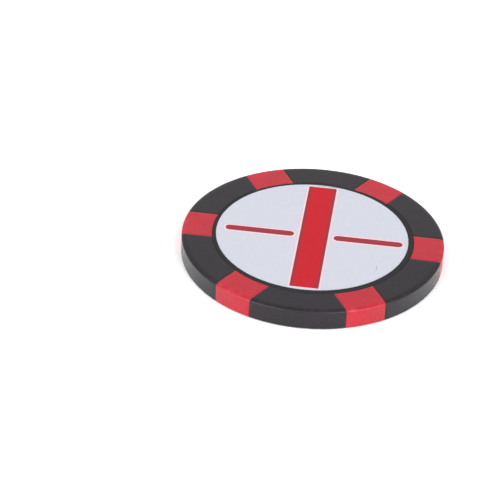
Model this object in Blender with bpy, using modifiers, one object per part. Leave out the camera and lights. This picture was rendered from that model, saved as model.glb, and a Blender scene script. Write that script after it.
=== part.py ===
"""Golf ball marker built like a poker chip.

A black plastic disc holds six red edge spots and a steel slug, and a printed label is let
into each face. The chip lies flat. The origin is the centre of its underside, +Z is up
and the first edge spot is at +X.
"""

import math

import bmesh
import bpy

# Driving dimensions, in metres.
CHIP_RADIUS = 0.020
CHIP_THICKNESS = 0.0033
EDGE_ROUNDING = 0.00035

RECESS_RADIUS = 0.0154
RECESS_DEPTH = 0.00028
RECESS_LIP = 0.00006

SPOT_COUNT = 6
SPOT_WIDTH = 0.0063
KEY_LENGTH = 0.00135
KEY_HEIGHT = 0.0014
KEY_NECK_WIDTH = 0.0022
KEY_END_WIDTH = 0.0034

SLUG_RADIUS = 0.0130
SLUG_THICKNESS = 0.0020
SLUG_ROUNDING = 0.00025

PIN_HOLE_COUNT = 3
PIN_HOLE_RADIUS = 0.0008
PIN_CIRCLE_RADIUS = 0.0080
PIN_FIRST_ANGLE = math.radians(30)

LABEL_RADIUS = 0.01536
LABEL_TURN = math.radians(0.6)
ADHESIVE_RADIUS = 0.0151
ADHESIVE_THICKNESS = 0.00004
FILM_THICKNESS = 0.00014
INK_THICKNESS = 0.00002

# The print sits a little off the label's centre: its pale field, and the marks on it.
FIELD_RADIUS = 0.01466
FIELD_SHIFT = (-0.00014, 0.00019)
MARK_SHIFT = (0.00010, 0.00019)
BAR_WIDTH = 0.0043
BAR_LENGTH = 0.0280
LINE_WIDTH = 0.0013
LINE_LENGTH = 0.0105
LINE_TO_BAR_GAP = 0.0009

# Clearances: round a moulded-in piece, and between the plies of a label.
FIT_GAP = 0.00002
PLY_GAP = 0.00002

# Facets of a full turn, of one rounded edge and of one round line end.
TURN_STEPS = 96
ROUNDING_STEPS = 4
SLUG_ROUNDING_STEPS = 2
HOLE_SIDES = 24
LINE_END_STEPS = 10

# How far a cutter runs past the solid that it cuts.
CUTTER_MARGIN = 0.001

SMOOTH_ANGLE = math.radians(35)
SCREW_MERGE = 0.000001
WELD_DISTANCE = 0.000001

MID_HEIGHT = CHIP_THICKNESS / 2
RECESS_FLOOR = CHIP_THICKNESS - RECESS_DEPTH


# ---- Scene, collections and materials ----

def clear_scene():
    """Remove every object that the file starts with."""
    for obj in list(bpy.data.objects):
        bpy.data.objects.remove(obj, do_unlink=True)


def new_collection(name):
    """Add an empty collection to the scene."""
    collection = bpy.data.collections.new(name)
    bpy.context.scene.collection.children.link(collection)
    return collection


def new_material(name, colour, roughness, metallic=0.0):
    """Make a plain Principled material from a linear colour."""
    material = bpy.data.materials.new(name)
    material.use_nodes = True
    shader = material.node_tree.nodes["Principled BSDF"]
    shader.inputs["Base Color"].default_value = (*colour, 1.0)
    shader.inputs["Roughness"].default_value = roughness
    shader.inputs["Metallic"].default_value = metallic
    return material


def add_object(name, data, collection, material=None):
    """Put mesh or curve data in the scene as a named object."""
    obj = bpy.data.objects.new(name, data)
    collection.objects.link(obj)
    if material is not None and not data.materials:
        data.materials.append(material)
    return obj


def hide_cutter(cutter):
    """Mark an object as a cutter, which shows only as wire."""
    cutter.hide_render = True
    cutter.display_type = "WIRE"


# ---- Basic shapes ----

def turned(name, profile, collection, material=None, closed=False):
    """Turn (radius, height) points, which run down the outer side, about the Z axis."""
    points = [(radius, 0.0, height) for radius, height in profile]
    edges = [(index, index + 1) for index in range(len(points) - 1)]
    if closed:
        edges.append((len(points) - 1, 0))
    mesh = bpy.data.meshes.new(name)
    mesh.from_pydata(points, edges, [])
    obj = add_object(name, mesh, collection, material)
    screw = obj.modifiers.new("turn", "SCREW")
    screw.steps = TURN_STEPS
    screw.render_steps = TURN_STEPS
    screw.use_merge_vertices = True
    screw.merge_threshold = SCREW_MERGE
    return obj


def block(name, size, centre, collection, material=None):
    """Make a box of a full size about a centre."""
    mesh = bpy.data.meshes.new(name)
    shape = bmesh.new()
    bmesh.ops.create_cube(shape, size=1.0)
    bmesh.ops.scale(shape, vec=size, verts=shape.verts)
    shape.to_mesh(mesh)
    shape.free()
    obj = add_object(name, mesh, collection, material)
    obj.location = centre
    return obj


def disc(name, radius, thickness, sides, collection, material=None):
    """Make a flat round plate about its own middle."""
    mesh = bpy.data.meshes.new(name)
    shape = bmesh.new()
    bmesh.ops.create_cone(
        shape, cap_ends=True, segments=sides, radius1=radius, radius2=radius, depth=thickness
    )
    shape.to_mesh(mesh)
    shape.free()
    mesh.shade_smooth()
    mesh.set_sharp_from_angle(angle=SMOOTH_ANGLE)
    return add_object(name, mesh, collection, material)


def outline_plate(name, outlines, thickness, collection, material=None):
    """Make a flat plate from closed outlines of (x, y) points: the first less the others."""
    curve = bpy.data.curves.new(name, "CURVE")
    curve.dimensions = "2D"
    curve.fill_mode = "BOTH"
    curve.extrude = thickness / 2
    for outline in outlines:
        spline = curve.splines.new("POLY")
        spline.points.add(len(outline) - 1)
        for point, (x, y) in zip(spline.points, outline):
            point.co = (x, y, 0.0, 1.0)
        spline.use_cyclic_u = True
    return add_object(name, curve, collection, material)


# ---- Making meshes final, and cutting ----

def evaluated_mesh(obj):
    """Copy an object's shape, with its modifiers, as one welded mesh."""
    graph = bpy.context.evaluated_depsgraph_get()
    mesh = bpy.data.meshes.new_from_object(obj.evaluated_get(graph))
    shape = bmesh.new()
    shape.from_mesh(mesh)
    bmesh.ops.remove_doubles(shape, verts=shape.verts, dist=WELD_DISTANCE)
    shape.to_mesh(mesh)
    shape.free()
    return mesh


def made_mesh(obj, collection):
    """Replace an object by a mesh object of the same shape and place."""
    bpy.context.view_layer.update()
    mesh = evaluated_mesh(obj)
    place = obj.matrix_world.copy()
    name = obj.name
    bpy.data.objects.remove(obj, do_unlink=True)
    mesh_object = add_object(name, mesh, collection)
    mesh_object.matrix_world = place
    return mesh_object


def add_boolean(obj, operation, other):
    """Join, cut or trim an object with another one, which becomes a wire helper."""
    boolean = obj.modifiers.new(f"{operation.lower()}_{other.name}", "BOOLEAN")
    boolean.operation = operation
    boolean.solver = "EXACT"
    boolean.object = other
    hide_cutter(other)


def about_axis(obj, angle):
    """Turn an object about the chip's axis."""
    x, y, z = obj.location
    obj.location = (
        x * math.cos(angle) - y * math.sin(angle),
        x * math.sin(angle) + y * math.cos(angle),
        z,
    )
    obj.rotation_euler.z += angle


# ---- Profiles and outlines ----

def rounded_corner(radius, height, size, first_angle, steps):
    """Points of a quarter round that runs clockwise from first_angle, about its own centre."""
    points = []
    for step in range(steps + 1):
        angle = first_angle - math.pi / 2 * step / steps
        points.append((radius + size * math.cos(angle), height + size * math.sin(angle)))
    return points


def rim_profile(inner_radius):
    """The rim's section: recess wall, lip, rounded edge, side, and the same below."""
    edge = CHIP_RADIUS - EDGE_ROUNDING
    top = CHIP_THICKNESS - EDGE_ROUNDING
    return [
        (inner_radius, CHIP_THICKNESS - RECESS_LIP),
        (inner_radius + RECESS_LIP, CHIP_THICKNESS),
        *rounded_corner(edge, top, EDGE_ROUNDING, math.pi / 2, ROUNDING_STEPS),
        *rounded_corner(edge, EDGE_ROUNDING, EDGE_ROUNDING, 0.0, ROUNDING_STEPS),
        (inner_radius + RECESS_LIP, 0.0),
        (inner_radius, RECESS_LIP),
    ]


def body_profile():
    """The rim's section closed by the floors of the two label recesses."""
    return [
        (0.0, RECESS_FLOOR),
        (RECESS_RADIUS, RECESS_FLOOR),
        *rim_profile(RECESS_RADIUS),
        (RECESS_RADIUS, RECESS_DEPTH),
        (0.0, RECESS_DEPTH),
    ]


def slot_profile():
    """A ring that is taller and wider than the rim, for cutting the spots' slots."""
    inner = RECESS_RADIUS - FIT_GAP
    outer = CHIP_RADIUS + CUTTER_MARGIN
    top = CHIP_THICKNESS + CUTTER_MARGIN
    bottom = -CUTTER_MARGIN
    return [(inner, top), (outer, top), (outer, bottom), (inner, bottom)]


def slug_profile(radius, thickness, rounding):
    """The section of a flat disc with rounded edges, about the chip's mid height."""
    edge = radius - rounding
    top = MID_HEIGHT + thickness / 2
    bottom = MID_HEIGHT - thickness / 2
    return [
        (0.0, top),
        *rounded_corner(edge, top - rounding, rounding, math.pi / 2, SLUG_ROUNDING_STEPS),
        *rounded_corner(edge, bottom + rounding, rounding, 0.0, SLUG_ROUNDING_STEPS),
        (0.0, bottom),
    ]


def circle_outline(radius, centre):
    """A circle of TURN_STEPS points."""
    outline = []
    for step in range(TURN_STEPS):
        angle = math.tau * step / TURN_STEPS
        outline.append((
            centre[0] + radius * math.cos(angle),
            centre[1] + radius * math.sin(angle),
        ))
    return outline


def key_outline(clearance):
    """A dovetail that widens inwards from the recess wall, grown by a clearance."""
    inner = RECESS_RADIUS - KEY_LENGTH - clearance
    outer = RECESS_RADIUS + KEY_LENGTH / 4
    end = KEY_END_WIDTH / 2 + clearance
    neck = KEY_NECK_WIDTH / 2 + clearance
    return [(inner, -end), (outer, -neck), (outer, neck), (inner, end)]


def line_outline():
    """A straight line of the label's print, with round ends, along X."""
    radius = LINE_WIDTH / 2
    reach = LINE_LENGTH / 2 - radius
    outline = []
    for side in (1, -1):
        for step in range(LINE_END_STEPS + 1):
            angle = math.pi * step / LINE_END_STEPS - math.pi / 2
            outline.append((
                side * (reach + radius * math.cos(angle)),
                side * radius * math.sin(angle),
            ))
    return outline


# ---- Sub-parts ----

def spot_solid(name, profile, width, key_clearance, helpers):
    """A length of ring cut to a width across +X, with a key that reaches inwards."""
    reach = CHIP_RADIUS + 2 * CUTTER_MARGIN
    height = CHIP_THICKNESS + 4 * CUTTER_MARGIN
    ring = turned(f"{name}_ring", profile, helpers, closed=True)
    trim = block(
        f"{name}_trim", (reach, width, height), (reach / 2, 0.0, MID_HEIGHT), helpers
    )
    key = outline_plate(
        f"{name}_key",
        [key_outline(key_clearance)],
        KEY_HEIGHT + 2 * key_clearance,
        helpers,
    )
    key.location.z = MID_HEIGHT
    key = made_mesh(key, helpers)
    add_boolean(ring, "INTERSECT", trim)
    add_boolean(ring, "UNION", key)
    solid = made_mesh(ring, helpers)
    for helper in (trim, key):
        bpy.data.objects.remove(helper, do_unlink=True)
    return solid


def add_edge_spots(parts, helpers, material):
    """Six red inserts let into the rim, each locked by a dovetail key."""
    first = spot_solid(
        "edge_spot", rim_profile(RECESS_RADIUS), SPOT_WIDTH - 2 * FIT_GAP, 0.0, helpers
    )
    mesh = first.data
    bpy.data.objects.remove(first, do_unlink=True)
    mesh.shade_smooth()
    mesh.set_sharp_from_angle(angle=SMOOTH_ANGLE)
    for index in range(SPOT_COUNT):
        spot = add_object(f"edge_spot_{index + 1}", mesh, parts, material)
        spot.rotation_euler.z = math.tau * index / SPOT_COUNT


def add_slot_cutters(helpers):
    """The six slots that the edge spots fill."""
    first = spot_solid("slot", slot_profile(), SPOT_WIDTH, FIT_GAP, helpers)
    mesh = first.data
    bpy.data.objects.remove(first, do_unlink=True)
    cutters = []
    for index in range(SPOT_COUNT):
        cutter = add_object(f"slot_cutter_{index + 1}", mesh, helpers)
        cutter.rotation_euler.z = math.tau * index / SPOT_COUNT
        cutters.append(cutter)
    return cutters


def add_slug_cutters(helpers):
    """The slug's pocket, and the holes that the mould's pins leave above and below it."""
    pocket = turned(
        "slug_pocket_cutter",
        slug_profile(SLUG_RADIUS + FIT_GAP, SLUG_THICKNESS + 2 * FIT_GAP, SLUG_ROUNDING),
        helpers,
    )
    cutters = [pocket]
    for index in range(PIN_HOLE_COUNT):
        cutter = disc(
            f"pin_hole_cutter_{index + 1}",
            PIN_HOLE_RADIUS,
            CHIP_THICKNESS + CUTTER_MARGIN,
            HOLE_SIDES,
            helpers,
        )
        cutter.location = (PIN_CIRCLE_RADIUS, 0.0, MID_HEIGHT)
        about_axis(cutter, PIN_FIRST_ANGLE + math.tau * index / PIN_HOLE_COUNT)
        cutters.append(cutter)
    return cutters


def add_chip_body(parts, helpers, material):
    """The black disc: turned all over, then cut for the spots and the slug."""
    body = turned("chip_body", body_profile(), parts, material)
    for cutter in add_slot_cutters(helpers) + add_slug_cutters(helpers):
        add_boolean(body, "DIFFERENCE", cutter)


def add_steel_slug(parts, material):
    """The weight in the middle of the chip."""
    turned(
        "steel_slug",
        slug_profile(SLUG_RADIUS, SLUG_THICKNESS, SLUG_ROUNDING),
        parts,
        material,
    )


def add_label(side, seat, parts, materials):
    """One label, built upwards from the recess floor on the seat of its face."""
    adhesive = disc(
        f"{side}_label_adhesive",
        ADHESIVE_RADIUS,
        ADHESIVE_THICKNESS,
        TURN_STEPS,
        parts,
        materials["adhesive"],
    )
    film = disc(
        f"{side}_label_film",
        LABEL_RADIUS,
        FILM_THICKNESS,
        TURN_STEPS,
        parts,
        materials["film"],
    )
    border = outline_plate(
        f"{side}_label_border",
        [circle_outline(LABEL_RADIUS, (0.0, 0.0)), circle_outline(FIELD_RADIUS, FIELD_SHIFT)],
        INK_THICKNESS,
        parts,
        materials["border"],
    )
    bar = block(
        f"{side}_label_bar",
        (BAR_WIDTH, BAR_LENGTH, INK_THICKNESS),
        (0.0, 0.0, 0.0),
        parts,
        materials["bar"],
    )
    line_names = (f"{side}_label_line_right", f"{side}_label_line_left")
    lines = [
        outline_plate(name, [line_outline()], INK_THICKNESS, parts, materials["line"])
        for name in line_names
    ]

    level = RECESS_FLOOR - MID_HEIGHT + PLY_GAP
    adhesive.location.z = level + ADHESIVE_THICKNESS / 2
    level += ADHESIVE_THICKNESS + PLY_GAP
    film.location.z = level + FILM_THICKNESS / 2
    level += FILM_THICKNESS + PLY_GAP + INK_THICKNESS / 2
    border.location.z = level
    bar.location = (*MARK_SHIFT, level)
    line_centre = BAR_WIDTH / 2 + LINE_TO_BAR_GAP + LINE_LENGTH / 2
    for line, way in zip(lines, (1, -1)):
        line.location = (MARK_SHIFT[0] + way * line_centre, MARK_SHIFT[1], level)
    for piece in (adhesive, film, border, bar, *lines):
        piece.parent = seat


def add_label_seat(side, turned_over, parts):
    """An empty in the chip's middle that faces the way the label faces."""
    seat = add_object(f"{side}_label_seat", None, parts)
    seat.location.z = MID_HEIGHT
    seat.rotation_euler = (math.pi if turned_over else 0.0, 0.0, LABEL_TURN)
    return seat


def main():
    clear_scene()
    parts = new_collection("ball_marker")
    helpers = new_collection("cutters")

    black_plastic = new_material("black_plastic", (0.045, 0.042, 0.046), 0.45)
    red_plastic = new_material("red_plastic", (0.50, 0.045, 0.06), 0.42)
    steel = new_material("slug_steel", (0.55, 0.55, 0.56), 0.35, metallic=1.0)
    label_materials = {
        "adhesive": new_material("label_adhesive", (0.75, 0.72, 0.62), 0.6),
        "film": new_material("label_film", (0.70, 0.72, 0.81), 0.5),
        "border": new_material("label_border", (0.02, 0.02, 0.022), 0.5),
        "bar": new_material("label_bar", (0.62, 0.030, 0.041), 0.45),
        "line": new_material("label_line", (0.40, 0.055, 0.075), 0.45),
    }

    add_edge_spots(parts, helpers, red_plastic)
    add_chip_body(parts, helpers, black_plastic)
    add_steel_slug(parts, steel)
    for side, turned_over in (("top", False), ("bottom", True)):
        seat = add_label_seat(side, turned_over, parts)
        add_label(side, seat, parts, label_materials)


main()
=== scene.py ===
"""Looks of the ball marker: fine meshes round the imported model, materials, floor, light and camera.

Lengths are in metres. The chip lies flat with its underside's centre at the origin.
"""

import math

import bmesh
import bpy
from mathutils import Matrix, Quaternion, Vector


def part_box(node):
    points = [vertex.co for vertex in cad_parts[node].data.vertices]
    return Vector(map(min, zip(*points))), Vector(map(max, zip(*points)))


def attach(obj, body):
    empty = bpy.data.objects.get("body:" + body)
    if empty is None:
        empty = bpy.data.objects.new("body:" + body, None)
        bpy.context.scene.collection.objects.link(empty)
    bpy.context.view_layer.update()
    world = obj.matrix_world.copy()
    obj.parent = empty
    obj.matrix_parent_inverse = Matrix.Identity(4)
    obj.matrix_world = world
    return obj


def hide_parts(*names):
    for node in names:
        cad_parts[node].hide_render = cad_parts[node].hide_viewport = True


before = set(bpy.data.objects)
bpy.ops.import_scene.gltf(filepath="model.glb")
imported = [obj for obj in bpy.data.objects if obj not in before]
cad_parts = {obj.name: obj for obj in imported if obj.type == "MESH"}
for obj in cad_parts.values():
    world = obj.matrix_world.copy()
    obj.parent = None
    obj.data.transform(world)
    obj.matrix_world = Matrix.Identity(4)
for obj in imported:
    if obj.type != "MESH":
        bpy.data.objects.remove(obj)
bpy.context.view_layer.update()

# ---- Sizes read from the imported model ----

BODY_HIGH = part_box("chip_body")[1]
SPOT_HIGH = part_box("edge_spot_1")[1]
SLUG_LOW, SLUG_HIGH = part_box("steel_slug")
FILM_LOW, FILM_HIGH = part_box("top_label_film")
INK_LOW, INK_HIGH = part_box("top_label_border")

CHIP_RADIUS = SPOT_HIGH.x
CHIP_HEIGHT = BODY_HIGH.z
MID_HEIGHT = CHIP_HEIGHT / 2
SLUG_RADIUS = SLUG_HIGH.x
SLUG_HEIGHT = SLUG_HIGH.z - SLUG_LOW.z
LABEL_RADIUS = FILM_HIGH.y
FILM_HEIGHT = FILM_HIGH.z - FILM_LOW.z
INK_HEIGHT = INK_HIGH.z - INK_LOW.z
SPOT_HALF_WIDTH = SPOT_HIGH.y

# ---- Sizes that the model's boxes don't give, the same as in the model ----

FIT_GAP = 0.00002
EDGE_ROUNDING = 0.00035
RECESS_RADIUS = 0.0154
RECESS_DEPTH = 0.00028
RECESS_LIP = 0.00006
RECESS_FLOOR = CHIP_HEIGHT - RECESS_DEPTH
SPOT_COUNT = 6
KEY_LENGTH = 0.00135
KEY_HEIGHT = 0.0014
KEY_NECK_WIDTH = 0.0022
KEY_END_WIDTH = 0.0034
SLUG_ROUNDING = 0.00025
PIN_HOLE_COUNT = 3
PIN_HOLE_RADIUS = 0.0008
PIN_CIRCLE_RADIUS = 0.0080
PIN_FIRST_ANGLE = math.radians(30)
LABEL_TURN = math.radians(0.6)
FIELD_RADIUS = 0.01466
FIELD_SHIFT = (-0.00014, 0.00019)
MARK_SHIFT = (0.00010, 0.00019)
BAR_WIDTH = 0.0043
BAR_LENGTH = 0.0280
LINE_WIDTH = 0.0013
LINE_LENGTH = 0.0105
LINE_TO_BAR_GAP = 0.0009
LINE_CENTRE = BAR_WIDTH / 2 + LINE_TO_BAR_GAP + LINE_LENGTH / 2

# ---- Fineness and small finishing shapes ----

SEAM_ROUNDING = 0.00004
FLAT_MARGIN = 0.00003
SEAM_STEPS = 3
EDGE_STEPS = 8
LIP_STEPS = 4
SECTOR_COLUMNS = 30
SPOT_COLUMNS = 14
SLOT_ARC_STEPS = 12
TURN_STEPS = 192
HOLE_SIDES = 48
FILM_ROUNDING = 0.00003
BAR_CORNER = 0.00008
EDGE_FALL = 0.0009
MARK_KEYLINE = 0.00034
RIM_KEYLINE = 0.00016
RIM_KEYLINE_BAND = (0.0008, 0.0004)
CUT_EDGE_FADE = 0.0001
SCRATCH_CENTRE = (0.01027, -0.00683)
SCRATCH_HALF_SIZE = (0.00006, 0.0009)
THICK_INK_WIDTH = 0.00065
THICKEST_INK_WIDTH = 0.0001
CORNER_STEPS = 6
LINE_END_STEPS = 16
SMOOTH_ANGLE = math.radians(35)
WELD_DISTANCE = 0.0000005


# ---- Small helpers ----

def new_piece(name, mesh, material):
    """Put a mesh in the scene as a named object with one material."""
    piece = bpy.data.objects.new(name, mesh)
    bpy.context.scene.collection.objects.link(piece)
    mesh.materials.append(material)
    mesh.shade_smooth()
    mesh.set_sharp_from_angle(angle=SMOOTH_ANGLE)
    return piece


def finish_mesh(shape, name):
    """Weld a bmesh, face it outwards and make it mesh data."""
    bmesh.ops.remove_doubles(shape, verts=shape.verts, dist=WELD_DISTANCE)
    bmesh.ops.recalc_face_normals(shape, faces=shape.faces)
    mesh = bpy.data.meshes.new(name)
    shape.to_mesh(mesh)
    shape.free()
    return mesh


def arc(centre, radii, start, end, steps):
    """(point, normal) pairs of an elliptical arc in a section, angles in degrees."""
    across, up = radii
    pairs = []
    for step in range(steps + 1):
        angle = math.radians(start + (end - start) * step / steps)
        point = (centre[0] + across * math.cos(angle), centre[1] + up * math.sin(angle))
        normal = Vector((math.cos(angle) / across, math.sin(angle) / up)).normalized()
        pairs.append((point, tuple(normal)))
    return pairs


def polar(radius, azimuth, height):
    """The point at a radius, an angle about Z and a height."""
    return Vector((radius * math.cos(azimuth), radius * math.sin(azimuth), height))


def apply_modifiers(piece):
    """Bake a piece's modifiers into its own mesh."""
    graph = bpy.context.evaluated_depsgraph_get()
    mesh = bpy.data.meshes.new_from_object(piece.evaluated_get(graph))
    piece.modifiers.clear()
    piece.data = mesh


def boolean(piece, operation, other):
    """Join or cut a piece with another object, which is used up."""
    modifier = piece.modifiers.new(operation.lower(), "BOOLEAN")
    modifier.operation = operation
    modifier.solver = "EXACT"
    modifier.object = other
    bpy.context.view_layer.update()
    apply_modifiers(piece)
    bpy.data.objects.remove(other, do_unlink=True)


# ---- The rim's section, shared by the black body and the red spots ----

def rim_section():
    """(point, normal) pairs from the upper recess wall over the edge to the lower one."""
    lip_centre = RECESS_RADIUS + RECESS_LIP
    edge_centre = CHIP_RADIUS - EDGE_FALL
    lip = (RECESS_LIP, RECESS_LIP)
    edge = (EDGE_FALL, EDGE_ROUNDING)
    up, down, out = (0.0, 1.0), (0.0, -1.0), (1.0, 0.0)
    return [
        *arc((lip_centre, CHIP_HEIGHT - RECESS_LIP), lip, 180, 90, LIP_STEPS),
        ((lip_centre + FLAT_MARGIN, CHIP_HEIGHT), up),
        ((edge_centre - FLAT_MARGIN, CHIP_HEIGHT), up),
        *arc((edge_centre, CHIP_HEIGHT - EDGE_ROUNDING), edge, 90, 0, EDGE_STEPS),
        ((CHIP_RADIUS, CHIP_HEIGHT - EDGE_ROUNDING - FLAT_MARGIN), out),
        ((CHIP_RADIUS, EDGE_ROUNDING + FLAT_MARGIN), out),
        *arc((edge_centre, EDGE_ROUNDING), edge, 0, -90, EDGE_STEPS),
        ((edge_centre - FLAT_MARGIN, 0.0), down),
        ((lip_centre + FLAT_MARGIN, 0.0), down),
        *arc((lip_centre, RECESS_LIP), lip, -90, -180, LIP_STEPS),
    ]


def section_column(shape, section, azimuth_at, depth):
    """One column of vertices: the section, sunk by a depth, at azimuths that follow the radius."""
    column = []
    for (radius, height), (out, up) in section:
        sunk = radius - out * depth
        column.append(shape.verts.new(polar(sunk, azimuth_at(sunk), height - up * depth)))
    return column


def join_columns(shape, first, second, closed):
    """Faces between two neighbouring columns of vertices."""
    count = len(first)
    for index in range(count if closed else count - 1):
        after = (index + 1) % count
        shape.faces.new((first[index], first[after], second[after], second[index]))


def seam_offsets():
    """(sideways, depth) pairs of a rounded seam edge, from the seam's face to the surface."""
    offsets = []
    for step in range(SEAM_STEPS + 1):
        angle = math.pi / 2 * (1 - step / SEAM_STEPS)
        offsets.append((
            SEAM_ROUNDING * (1 - math.sin(angle)),
            SEAM_ROUNDING * (1 - math.cos(angle)),
        ))
    return offsets


# ---- Black body ----

def beside(spot_azimuth, side, distance):
    """Azimuth, at any radius, of a line parallel to a spot's middle line."""
    return lambda radius: spot_azimuth + side * math.asin(distance / radius)


def between(first, second, share):
    """Azimuth, at any radius, part of the way from one line to another."""
    return lambda radius: first(radius) + (second(radius) - first(radius)) * share


def body_section():
    """The rim's section with the recess walls carried down to their floors."""
    inward = (-1.0, 0.0)
    return [
        ((RECESS_RADIUS, RECESS_FLOOR), inward),
        *rim_section(),
        ((RECESS_RADIUS, RECESS_DEPTH), inward),
    ]


def sector_columns(shape, section, index):
    """All the columns of the black rim between one spot and the next."""
    start = math.tau * index / SPOT_COUNT
    end = math.tau * (index + 1) / SPOT_COUNT
    slot_half = SPOT_HALF_WIDTH + FIT_GAP
    rise = [(beside(start, 1, slot_half + side), depth) for side, depth in seam_offsets()]
    fall = [(beside(end, -1, slot_half + side), depth) for side, depth in seam_offsets()]
    first, last = rise[-1][0], fall[-1][0]
    middle = [
        (between(first, last, step / SECTOR_COLUMNS), 0.0) for step in range(1, SECTOR_COLUMNS)
    ]
    lines = [*rise, *middle, *reversed(fall)]
    return [section_column(shape, section, azimuth_at, depth) for azimuth_at, depth in lines]


def slot_arc(shape, index, height):
    """The core's edge at the inner end of a slot."""
    centre = math.tau * index / SPOT_COUNT
    radius = RECESS_RADIUS - FIT_GAP
    reach = math.asin((SPOT_HALF_WIDTH + FIT_GAP) / radius)
    return [
        shape.verts.new(polar(radius, centre + reach * (2 * step / SLOT_ARC_STEPS - 1), height))
        for step in range(SLOT_ARC_STEPS + 1)
    ]


def body_mesh():
    """The black disc with its six slots and two recesses, as one closed surface."""
    shape = bmesh.new()
    section = body_section()
    sectors = [sector_columns(shape, section, index) for index in range(SPOT_COUNT)]
    upper = [slot_arc(shape, index, RECESS_FLOOR) for index in range(SPOT_COUNT)]
    lower = [slot_arc(shape, index, RECESS_DEPTH) for index in range(SPOT_COUNT)]
    for index, columns in enumerate(sectors):
        for first, second in zip(columns, columns[1:]):
            join_columns(shape, first, second, closed=False)
        after = (index + 1) % SPOT_COUNT
        shape.faces.new([*columns[0], lower[index][-1], upper[index][-1]])
        shape.faces.new([*columns[-1], lower[after][0], upper[after][0]])
        join_columns(shape, upper[index], lower[index], closed=False)
    for arcs, level in ((upper, 0), (lower, -1)):
        loop = []
        for edge, columns in zip(arcs, sectors):
            loop += edge
            loop += [column[level] for column in columns]
        shape.faces.new(loop)
    return finish_mesh(shape, "chip_body_moulding")


def turned_solid(name, section):
    """A closed solid turned about the Z axis from (radius, height) points, top to bottom."""
    shape = bmesh.new()
    rings = []
    for radius, height in section:
        if radius == 0.0:
            rings.append([shape.verts.new((0.0, 0.0, height))])
            continue
        rings.append([
            shape.verts.new(polar(radius, math.tau * step / TURN_STEPS, height))
            for step in range(TURN_STEPS)
        ])
    for upper, lower in zip(rings, rings[1:]):
        for step in range(TURN_STEPS):
            after = (step + 1) % TURN_STEPS
            corners = [
                upper[step % len(upper)],
                upper[after % len(upper)],
                lower[after % len(lower)],
                lower[step % len(lower)],
            ]
            shape.faces.new(list(dict.fromkeys(corners)))
    return finish_mesh(shape, name)


def disc_section(radius, height, rounding, steps):
    """Section of a flat round plate about mid height 0, with rounded edges."""
    edge = radius - rounding
    half = height / 2
    upper = arc((edge, half - rounding), (rounding, rounding), 90, 0, steps)
    lower = arc((edge, rounding - half), (rounding, rounding), 0, -90, steps)
    return [
        (0.0, half),
        (edge - FLAT_MARGIN, half),
        *[point for point, _ in upper],
        *[point for point, _ in lower],
        (edge - FLAT_MARGIN, -half),
        (0.0, -half),
    ]


def make_body(material):
    """The black moulding, with the slug's pocket and the pin holes cut in it."""
    body = new_piece("chip_body_moulding", body_mesh(), material)
    section = disc_section(
        SLUG_RADIUS + FIT_GAP, SLUG_HEIGHT + 2 * FIT_GAP, SLUG_ROUNDING, LIP_STEPS
    )
    pocket = new_piece("slug_pocket", turned_solid("slug_pocket", section), material)
    pocket.location.z = MID_HEIGHT
    boolean(body, "DIFFERENCE", pocket)
    for index in range(PIN_HOLE_COUNT):
        shape = bmesh.new()
        bmesh.ops.create_cone(
            shape,
            cap_ends=True,
            segments=HOLE_SIDES,
            radius1=PIN_HOLE_RADIUS,
            radius2=PIN_HOLE_RADIUS,
            depth=2 * CHIP_HEIGHT,
        )
        pin = new_piece("pin_hole", finish_mesh(shape, "pin_hole"), material)
        azimuth = PIN_FIRST_ANGLE + math.tau * index / PIN_HOLE_COUNT
        pin.location = polar(PIN_CIRCLE_RADIUS, azimuth, MID_HEIGHT)
        boolean(body, "DIFFERENCE", pin)
    body.data.set_sharp_from_angle(angle=SMOOTH_ANGLE)
    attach(body, "root")
    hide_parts("chip_body")


# ---- Red edge spots ----

def key_mesh():
    """The dovetail that locks a spot in the body."""
    inner = RECESS_RADIUS - KEY_LENGTH
    outer = RECESS_RADIUS + KEY_LENGTH / 4
    end, neck = KEY_END_WIDTH / 2, KEY_NECK_WIDTH / 2
    shape = bmesh.new()
    corners = [(inner, -end), (outer, -neck), (outer, neck), (inner, end)]
    face = shape.faces.new([
        shape.verts.new((x, y, MID_HEIGHT - KEY_HEIGHT / 2)) for x, y in corners
    ])
    grown = bmesh.ops.extrude_face_region(shape, geom=[face])["geom"]
    raised = [item for item in grown if isinstance(item, bmesh.types.BMVert)]
    bmesh.ops.translate(shape, verts=raised, vec=(0.0, 0.0, KEY_HEIGHT))
    return finish_mesh(shape, "key")


def spot_mesh():
    """A spot at +X: the rim's section swept across its width, with rounded seams."""
    shape = bmesh.new()
    section = rim_section()
    left = [(side - SPOT_HALF_WIDTH, depth) for side, depth in seam_offsets()]
    right = [(SPOT_HALF_WIDTH - side, depth) for side, depth in reversed(seam_offsets())]
    reach = SPOT_HALF_WIDTH - SEAM_ROUNDING
    middle = [
        (reach * (2 * step / SPOT_COLUMNS - 1), 0.0) for step in range(1, SPOT_COLUMNS)
    ]
    columns = [
        section_column(shape, section, beside(0.0, 1, distance), depth)
        for distance, depth in (*left, *middle, *right)
    ]
    for first, second in zip(columns, columns[1:]):
        join_columns(shape, first, second, closed=True)
    shape.faces.new(columns[0])
    shape.faces.new(columns[-1])
    return finish_mesh(shape, "edge_spot_insert")


def make_spots(material):
    """Six red inserts, each turned in its mesh so that the grain differs from one to the next."""
    first = new_piece("edge_spot_insert_1", spot_mesh(), material)
    boolean(first, "UNION", new_piece("key", key_mesh(), material))
    first.data.set_sharp_from_angle(angle=SMOOTH_ANGLE)
    for index in range(SPOT_COUNT):
        piece = first
        if index:
            mesh = first.data.copy()
            mesh.transform(Matrix.Rotation(math.tau * index / SPOT_COUNT, 4, "Z"))
            piece = bpy.data.objects.new(f"edge_spot_insert_{index + 1}", mesh)
            bpy.context.scene.collection.objects.link(piece)
        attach(piece, "root")
        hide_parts(f"edge_spot_{index + 1}")


# ---- Labels ----

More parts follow.
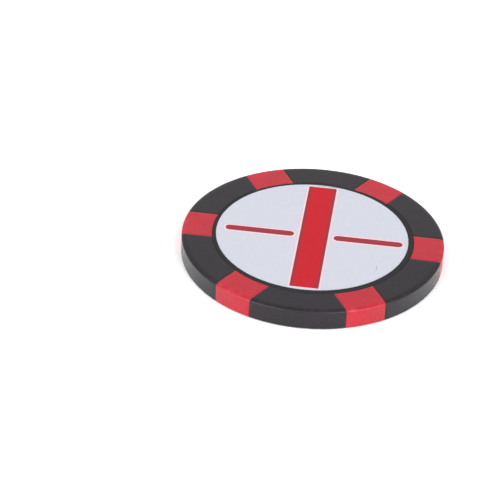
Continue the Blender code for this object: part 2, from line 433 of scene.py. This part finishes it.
def rounded_box(width, length, corner):
    """Outline of a rectangle about the origin with rounded corners."""
    outline = []
    for turn, (x_side, y_side) in enumerate(((1, 1), (-1, 1), (-1, -1), (1, -1))):
        for step in range(CORNER_STEPS + 1):
            angle = math.pi / 2 * (turn + step / CORNER_STEPS)
            outline.append((
                x_side * (width / 2 - corner) + corner * math.cos(angle),
                y_side * (length / 2 - corner) + corner * math.sin(angle),
            ))
    return outline


def round_ended_line(length, width):
    """Outline of a straight line along X with round ends, about the origin."""
    radius = width / 2
    reach = length / 2 - radius
    outline = []
    for side in (1, -1):
        for step in range(LINE_END_STEPS + 1):
            angle = math.pi * step / LINE_END_STEPS - math.pi / 2
            outline.append((
                side * (reach + radius * math.cos(angle)),
                side * radius * math.sin(angle),
            ))
    return outline


def circle(radius):
    """Outline of a circle about the origin."""
    return [
        (radius * math.cos(math.tau * step / TURN_STEPS),
         radius * math.sin(math.tau * step / TURN_STEPS))
        for step in range(TURN_STEPS)
    ]


def moved(outline, shift):
    """An outline moved to a new centre."""
    return [(x + shift[0], y + shift[1]) for x, y in outline]


def line_place(way):
    """Centre of a thin line, on the right (1) or the left (-1) of the bar."""
    return (MARK_SHIFT[0] + way * LINE_CENTRE, MARK_SHIFT[1])


def ink_plate(name, outlines, height, material):
    """A thin flat plate: the first outline less the others."""
    curve = bpy.data.curves.new(name, "CURVE")
    curve.dimensions = "2D"
    curve.fill_mode = "BOTH"
    curve.extrude = height / 2
    for outline in outlines:
        spline = curve.splines.new("POLY")
        spline.points.add(len(outline) - 1)
        for point, (x, y) in zip(spline.points, outline):
            point.co = (x, y, 0.0, 1.0)
        spline.use_cyclic_u = True
    maker = bpy.data.objects.new(name, curve)
    bpy.context.scene.collection.objects.link(maker)
    graph = bpy.context.evaluated_depsgraph_get()
    drawn = bpy.data.meshes.new_from_object(maker.evaluated_get(graph))
    bpy.data.objects.remove(maker, do_unlink=True)
    shape = bmesh.new()
    shape.from_mesh(drawn)
    return new_piece(name, finish_mesh(shape, name), material)


def make_label(side, seat, materials):
    """One label: film, tinted field, border, bar and lines, on the seat of its face."""
    film_level = (FILM_LOW.z + FILM_HIGH.z) / 2 - MID_HEIGHT
    ink_level = (INK_LOW.z + INK_HIGH.z) / 2 - MID_HEIGHT
    film = new_piece(
        f"{side}_label_vinyl",
        turned_solid(
            f"{side}_label_vinyl",
            disc_section(LABEL_RADIUS, FILM_HEIGHT, FILM_ROUNDING, LIP_STEPS),
        ),
        materials["film"],
    )
    grow = 2 * MARK_KEYLINE
    grown_bar = rounded_box(BAR_WIDTH + grow, BAR_LENGTH + grow, BAR_CORNER + MARK_KEYLINE)
    tint_holes = [moved(grown_bar, MARK_SHIFT)]
    for way in (1, -1):
        grown_line = round_ended_line(LINE_LENGTH + grow, LINE_WIDTH + grow)
        tint_holes.append(moved(grown_line, line_place(way)))
    tint = ink_plate(
        f"{side}_label_tint",
        [moved(circle(FIELD_RADIUS - RIM_KEYLINE), FIELD_SHIFT), *tint_holes],
        INK_HEIGHT,
        materials[f"{side}_tint"],
    )
    border = ink_plate(
        f"{side}_label_ring",
        [circle(LABEL_RADIUS), moved(circle(FIELD_RADIUS), FIELD_SHIFT)],
        INK_HEIGHT,
        materials["border"],
    )
    bar = ink_plate(
        f"{side}_label_wide_bar",
        [moved(rounded_box(BAR_WIDTH, BAR_LENGTH, BAR_CORNER), MARK_SHIFT)],
        INK_HEIGHT,
        materials["bar"],
    )
    lines = {}
    for where, way in (("right", 1), ("left", -1)):
        lines[where] = ink_plate(
            f"{side}_label_thin_line_{where}",
            [moved(round_ended_line(LINE_LENGTH, LINE_WIDTH), line_place(way))],
            INK_HEIGHT,
            materials["line"],
        )

    film.location.z = film_level
    for piece in (tint, border, bar, *lines.values()):
        piece.location.z = ink_level
    for piece in (film, tint, border, bar, *lines.values()):
        piece.matrix_world = seat @ piece.matrix_basis
        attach(piece, "root")
    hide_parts(f"{side}_label_film")
    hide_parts(f"{side}_label_border")
    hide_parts(f"{side}_label_bar")
    for where, line in lines.items():
        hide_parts(f"{side}_label_line_{where}")


def label_seat(turned_over):
    """The place and turn of one face's label, from the chip's middle."""
    turn = Quaternion((0, 0, 1), LABEL_TURN)
    if turned_over:
        turn = turn @ Quaternion((1, 0, 0), math.pi)
    seat = turn.to_matrix().to_4x4()
    seat.translation = (0.0, 0.0, MID_HEIGHT)
    return seat


# ---- Materials ----

BLACK_PLASTIC = (0.0035, 0.0008, 0.0042)
BLACK_WORN = (0.012, 0.009, 0.013)
BLACK_ROUGHNESS = 0.28
BLACK_MOTTLE = 0.30
RED_PLASTIC = (0.345, 0.003, 0.014)
RED_WORN = (0.42, 0.04, 0.06)
RED_ROUGHNESS = 0.30
RED_MOTTLE = 0.09
PLASTIC_IOR = 1.46
EDGE_DULLING = 0.22
MARK_KEYLINE_COLOUR = (0.68, 0.46, 0.49)
RIM_KEYLINE_COLOUR = (0.50, 0.51, 0.57)
CUT_EDGE_COLOUR = (0.010, 0.010, 0.011)
PALE_TINT = (0.430, 0.443, 0.496)
SCRATCH_COLOUR = (0.13, 0.14, 0.15)
BLACK_INK = (0.015, 0.014, 0.016)
RED_INK = (0.39, 0.0065, 0.014)
RED_INK_EDGE = (0.19, 0.022, 0.033)
DARK_RED_INK = (0.235, 0.024, 0.038)
INK_ROUGHNESS = 0.5
INK_SPECULAR = 0.15


class Nodes:
    """A short way to add and link shader nodes in one material."""

    def __init__(self, name):
        self.material = bpy.data.materials.new(name)
        self.material.use_nodes = True
        self.tree = self.material.node_tree
        self.shader = self.tree.nodes["Principled BSDF"]
        self.place = self.add("ShaderNodeTexCoord").outputs["Object"]

    def add(self, kind, **settings):
        """A new node with some of its settings."""
        node = self.tree.nodes.new(kind)
        for name, value in settings.items():
            setattr(node, name, value)
        return node

    def link(self, source, target):
        """Join an output to an input."""
        self.tree.links.new(source, target)

    def noise(self, size, detail=3.0, roughness=0.5, stretch=None):
        """Noise whose blotches are about size metres across."""
        node = self.add("ShaderNodeTexNoise")
        node.inputs["Scale"].default_value = 1.0 / size
        node.inputs["Detail"].default_value = detail
        node.inputs["Roughness"].default_value = roughness
        place = self.place
        if stretch is not None:
            mapping = self.add("ShaderNodeMapping")
            mapping.inputs["Scale"].default_value = stretch
            self.link(place, mapping.inputs["Vector"])
            place = mapping.outputs["Vector"]
        self.link(place, node.inputs["Vector"])
        return node.outputs["Fac"]

    def remap(self, value, low, high, out_low, out_high):
        """A value's stretch low..high carried to out_low..out_high."""
        node = self.add("ShaderNodeMapRange")
        self.link(value, node.inputs["Value"])
        for name, number in (
            ("From Min", low), ("From Max", high), ("To Min", out_low), ("To Max", out_high)
        ):
            node.inputs[name].default_value = number
        return node.outputs["Result"]

    def blend(self, factor, first, second):
        """A colour between two colours, by a factor that varies over the surface."""
        node = self.add("ShaderNodeMix", data_type="RGBA")
        self.link(factor, node.inputs["Factor"])
        for socket, colour in (("A", first), ("B", second)):
            target = [i for i in node.inputs if i.name == socket and i.type == "RGBA"][0]
            if isinstance(colour, tuple):
                target.default_value = (*colour, 1.0)
            else:
                self.link(colour, target)
        return [o for o in node.outputs if o.type == "RGBA"][0]

    def bump(self, height, distance, strength=1.0, below=None):
        """A bump of a real height in metres, on top of another one."""
        node = self.add("ShaderNodeBump")
        node.inputs["Distance"].default_value = distance
        node.inputs["Strength"].default_value = strength
        self.link(height, node.inputs["Height"])
        if below is not None:
            self.link(below, node.inputs["Normal"])
        return node.outputs["Normal"]

    def distance(self, centre, axes):
        """Distance from a point of the piece, measured along some of its axes."""
        offset = self.add("ShaderNodeVectorMath", operation="SUBTRACT")
        offset.inputs[1].default_value = centre
        self.link(self.place, offset.inputs[0])
        kept = self.add("ShaderNodeVectorMath", operation="MULTIPLY")
        kept.inputs[1].default_value = axes
        self.link(offset.outputs["Vector"], kept.inputs[0])
        length = self.add("ShaderNodeVectorMath", operation="LENGTH")
        self.link(kept.outputs["Vector"], length.inputs[0])
        return length.outputs["Value"]

    def combine(self, operation, first, second):
        """Two values multiplied or added."""
        node = self.add("ShaderNodeMath", operation=operation)
        self.link(first, node.inputs[0])
        self.link(second, node.inputs[1])
        return node.outputs["Value"]


def plastic(name, colour, worn, roughness, mottle):
    """Satin moulded plastic: spark-eroded grain, faint flow marks, rubbed rounded edges."""
    nodes = Nodes(name)
    grain = nodes.noise(0.00022, detail=2.0)
    waves = nodes.noise(0.0014, detail=2.0)
    clouds = nodes.noise(0.0035, detail=4.0, roughness=0.6)
    scuffs = nodes.noise(0.0009, detail=4.0, roughness=0.65)
    outward = nodes.distance((0.0, 0.0, 0.0), (1.0, 1.0, 0.0))
    off_middle = nodes.distance((0.0, 0.0, MID_HEIGHT), (0.0, 0.0, 1.0))
    rim = nodes.remap(outward, CHIP_RADIUS - EDGE_FALL, CHIP_RADIUS, 0.0, 1.0)
    corner = nodes.remap(off_middle, MID_HEIGHT - 1.2 * EDGE_ROUNDING, MID_HEIGHT, 0.0, 2.0)
    patchy = nodes.remap(scuffs, 0.48, 0.68, 0.0, 0.8)
    edge = nodes.combine("MULTIPLY", rim, corner)
    rubbed = nodes.combine("MULTIPLY", edge, patchy)
    deep = tuple((1 - mottle) * part for part in colour)
    pale = tuple((1 + mottle) * part for part in colour)
    body_colour = nodes.blend(nodes.remap(clouds, 0.3, 0.7, 0.0, 1.0), deep, pale)
    nodes.link(nodes.blend(rubbed, body_colour, worn), nodes.shader.inputs["Base Color"])
    scuffed = nodes.remap(scuffs, 0.3, 0.7, roughness - 0.06, roughness + 0.08)
    duller = nodes.remap(edge, 0.0, 1.0, 0.0, EDGE_DULLING)
    nodes.link(nodes.combine("ADD", scuffed, duller), nodes.shader.inputs["Roughness"])
    nodes.link(
        nodes.bump(grain, 0.000005, below=nodes.bump(waves, 0.000010)),
        nodes.shader.inputs["Normal"],
    )
    nodes.shader.inputs["IOR"].default_value = PLASTIC_IOR
    return nodes.material


def inked(nodes, colour):
    """Finish printed vinyl: the colour with a faint mottle and the film's fine texture."""
    mottle = nodes.noise(0.0009, detail=4.0, roughness=0.6)
    tooth = nodes.noise(0.00009, detail=2.0)
    shade = nodes.add("ShaderNodeMix", data_type="RGBA", blend_type="MULTIPLY")
    shade.inputs["Factor"].default_value = 1.0
    tones = nodes.blend(nodes.remap(mottle, 0.3, 0.7, 0.0, 1.0), (0.96,) * 3, (1.0,) * 3)
    first, second = [i for i in shade.inputs if i.type == "RGBA"]
    nodes.link(tones, second)
    if isinstance(colour, tuple):
        first.default_value = (*colour, 1.0)
    else:
        nodes.link(colour, first)
    nodes.link(
        [o for o in shade.outputs if o.type == "RGBA"][0], nodes.shader.inputs["Base Color"]
    )
    nodes.link(
        nodes.remap(tooth, 0.3, 0.7, INK_ROUGHNESS - 0.04, INK_ROUGHNESS + 0.04),
        nodes.shader.inputs["Roughness"],
    )
    nodes.link(nodes.bump(tooth, 0.000002), nodes.shader.inputs["Normal"])
    nodes.shader.inputs["Specular IOR Level"].default_value = INK_SPECULAR
    return nodes.material


def print_ink(name, colour):
    """Plain printed ink."""
    return inked(Nodes(name), colour)


def scratched_tint(name, colour, scratch_colour):
    """The pale tint of the upper label, with one fine scratch low on its right."""
    nodes = Nodes(name)
    half_width, half_length = SCRATCH_HALF_SIZE
    reach = nodes.distance((*SCRATCH_CENTRE, 0.0), (1 / half_width, 1 / half_length, 0.0))
    scratch = nodes.remap(reach, 0.5, 1.0, 0.8, 0.0)
    return inked(nodes, nodes.blend(scratch, colour, scratch_colour))


def bar_ink(name, colour, edge_colour):
    """Red ink that lies thicker and darker along the bar's long edges."""
    nodes = Nodes(name)
    sideways = nodes.distance((*MARK_SHIFT, 0.0), (1.0, 0.0, 0.0))
    edge = nodes.remap(
        sideways,
        BAR_WIDTH / 2 - THICK_INK_WIDTH,
        BAR_WIDTH / 2 - THICKEST_INK_WIDTH,
        0.0,
        1.0,
    )
    return inked(nodes, nodes.blend(edge, colour, edge_colour))


def film_vinyl(name, mark_colour, rim_colour, cut_colour):
    """The film: keylines round the marks and the field, and a cut edge dark with border ink."""
    nodes = Nodes(name)
    outward = nodes.distance((*FIELD_SHIFT, 0.0), (1.0, 1.0, 0.0))
    start, full = (FIELD_RADIUS - inset for inset in RIM_KEYLINE_BAND)
    near_rim = nodes.remap(outward, start, full, 0.0, 1.0)
    past_rim = nodes.remap(outward, FIELD_RADIUS, FIELD_RADIUS + CUT_EDGE_FADE, 0.0, 1.0)
    keyline = nodes.blend(near_rim, mark_colour, rim_colour)
    return inked(nodes, nodes.blend(past_rim, keyline, cut_colour))


def punched_steel(name):
    """Bare rolled steel: straight rolling lines, a little haze and pitting."""
    nodes = Nodes(name)
    lines = nodes.noise(0.0004, detail=4.0, stretch=(0.05, 4.0, 1.0))
    pits = nodes.noise(0.00025, detail=2.0)
    nodes.link(
        nodes.blend(nodes.remap(lines, 0.3, 0.7, 0.0, 1.0), (0.42, 0.42, 0.43), (0.58, 0.58, 0.6)),
        nodes.shader.inputs["Base Color"],
    )
    nodes.link(
        nodes.remap(pits, 0.3, 0.7, 0.28, 0.45), nodes.shader.inputs["Roughness"]
    )
    nodes.link(
        nodes.bump(lines, 0.000003, below=nodes.bump(pits, 0.000004)),
        nodes.shader.inputs["Normal"],
    )
    nodes.shader.inputs["Metallic"].default_value = 1.0
    return nodes.material


def adhesive(name):
    """Milky acrylic adhesive with fine trapped bubbles."""
    nodes = Nodes(name)
    bubbles = nodes.noise(0.0003, detail=1.0)
    nodes.link(
        nodes.blend(nodes.remap(bubbles, 0.6, 0.7, 0.0, 1.0), (0.72, 0.69, 0.6), (0.85, 0.84, 0.8)),
        nodes.shader.inputs["Base Color"],
    )
    nodes.link(nodes.remap(bubbles, 0.3, 0.7, 0.45, 0.6), nodes.shader.inputs["Roughness"])
    nodes.link(nodes.bump(bubbles, 0.000005), nodes.shader.inputs["Normal"])
    return nodes.material


def dress_node(node, material):
    """Give a carried-over node a better material."""
    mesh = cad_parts[node].data
    mesh.materials.clear()
    mesh.materials.append(material)


# ---- Floor, light and camera ----

FLOOR_SIZE = 6.0
FLOOR_DROP = 0.00002
FLOOR_COLOUR = (0.95, 0.95, 0.955)
WORLD_FRONT = 0.16
WORLD_BACK = 0.84
WORLD_TURNOVER = 0.6
LAMP_SPREAD = math.radians(50)
LAMPS = {
    "left_softbox": (math.radians(-42), math.radians(34), 3.15),
    "right_softbox": (math.radians(48), math.radians(34), 3.35),
}

CAMERA_AZIMUTH = math.radians(4.57)
CAMERA_ELEVATION = math.radians(33.15)
CAMERA_DISTANCE = 0.359
CAMERA_ROLL = math.radians(3.87)
CAMERA_PAN = math.radians(1.530)
CAMERA_TILT = math.radians(0.334)
CAMERA_LENS = 169.8
SENSOR_WIDTH = 36.0


def direction(azimuth, elevation):
    """Unit vector towards a place: azimuth 0 is the -Y side, and 90 degrees the +X side."""
    return Vector((
        math.sin(azimuth) * math.cos(elevation),
        -math.cos(azimuth) * math.cos(elevation),
        math.sin(elevation),
    ))


def make_floor():
    """A plain pale floor, a hair below the chip's underside."""
    shape = bmesh.new()
    bmesh.ops.create_grid(shape, x_segments=1, y_segments=1, size=FLOOR_SIZE / 2)
    mesh = bpy.data.meshes.new("floor")
    shape.to_mesh(mesh)
    shape.free()
    nodes = Nodes("floor_paper")
    mottle = nodes.noise(0.004, detail=3.0)
    lighter = tuple(1.01 * part for part in FLOOR_COLOUR)
    nodes.link(nodes.blend(mottle, FLOOR_COLOUR, lighter), nodes.shader.inputs["Base Color"])
    nodes.shader.inputs["Roughness"].default_value = 0.9
    nodes.shader.inputs["Specular IOR Level"].default_value = 0.2
    floor = new_piece("floor", mesh, nodes.material)
    floor.location.z = -FLOOR_DROP


def make_world():
    """A white surround that glows at the back and is dim behind the camera."""
    world = bpy.data.worlds.new("studio")
    bpy.context.scene.world = world
    world.use_nodes = True
    tree = world.node_tree
    place = tree.nodes.new("ShaderNodeTexCoord")
    split = tree.nodes.new("ShaderNodeSeparateXYZ")
    ramp = tree.nodes.new("ShaderNodeMapRange")
    ramp.interpolation_type = "SMOOTHSTEP"
    ramp.inputs["From Min"].default_value = -WORLD_TURNOVER
    ramp.inputs["From Max"].default_value = WORLD_TURNOVER
    ramp.inputs["To Min"].default_value = WORLD_FRONT
    ramp.inputs["To Max"].default_value = WORLD_BACK
    background = tree.nodes["Background"]
    background.inputs["Color"].default_value = (1.0, 1.0, 1.0, 1.0)
    tree.links.new(place.outputs["Generated"], split.inputs["Vector"])
    tree.links.new(split.outputs["Y"], ramp.inputs["Value"])
    tree.links.new(ramp.outputs["Result"], background.inputs["Strength"])


def make_lights():
    """Two large soft lights in front, one on each side."""
    for name, (azimuth, elevation, strength) in LAMPS.items():
        lamp = bpy.data.lights.new(name, "SUN")
        lamp.energy = strength
        lamp.angle = LAMP_SPREAD
        light = bpy.data.objects.new(name, lamp)
        bpy.context.scene.collection.objects.link(light)
        towards = direction(azimuth, elevation)
        light.location = towards
        light.rotation_mode = "QUATERNION"
        light.rotation_quaternion = towards.to_track_quat("Z", "Y")


def make_camera():
    """The camera: aimed at the middle of the upper face, then rolled and turned aside."""
    data = bpy.data.cameras.new("camera")
    data.lens = CAMERA_LENS
    data.sensor_width = SENSOR_WIDTH
    data.clip_start = 0.01
    camera = bpy.data.objects.new("camera", data)
    bpy.context.scene.collection.objects.link(camera)
    target = Vector((0.0, 0.0, CHIP_HEIGHT))
    back = direction(CAMERA_AZIMUTH, CAMERA_ELEVATION)
    camera.location = target + back * CAMERA_DISTANCE
    camera.rotation_mode = "QUATERNION"
    camera.rotation_quaternion = (
        (-back).to_track_quat("-Z", "Y")
        @ Quaternion((0, 0, 1), CAMERA_ROLL)
        @ Quaternion((0, 1, 0), CAMERA_PAN)
        @ Quaternion((1, 0, 0), -CAMERA_TILT)
    )
    bpy.context.scene.camera = camera


def main():
    """Build the marker's looks, then the floor, the light and the camera."""
    make_body(
        plastic("black_moulding", BLACK_PLASTIC, BLACK_WORN, BLACK_ROUGHNESS, BLACK_MOTTLE)
    )
    make_spots(plastic("red_moulding", RED_PLASTIC, RED_WORN, RED_ROUGHNESS, RED_MOTTLE))
    label_materials = {
        "film": film_vinyl("white_vinyl", MARK_KEYLINE_COLOUR, RIM_KEYLINE_COLOUR, CUT_EDGE_COLOUR),
        "top_tint": scratched_tint("scratched_tint", PALE_TINT, SCRATCH_COLOUR),
        "bottom_tint": print_ink("pale_tint", PALE_TINT),
        "border": print_ink("black_ink", BLACK_INK),
        "bar": bar_ink("red_ink", RED_INK, RED_INK_EDGE),
        "line": print_ink("dark_red_ink", DARK_RED_INK),
    }
    for side, turned_over in (("top", False), ("bottom", True)):
        make_label(side, label_seat(turned_over), label_materials)
        dress_node(f"{side}_label_adhesive", adhesive(f"{side}_adhesive"))
    dress_node("steel_slug", punched_steel("rolled_steel"))
    make_floor()
    make_world()
    make_lights()
    make_camera()
    bpy.context.scene.view_settings.view_transform = "Standard"


main()
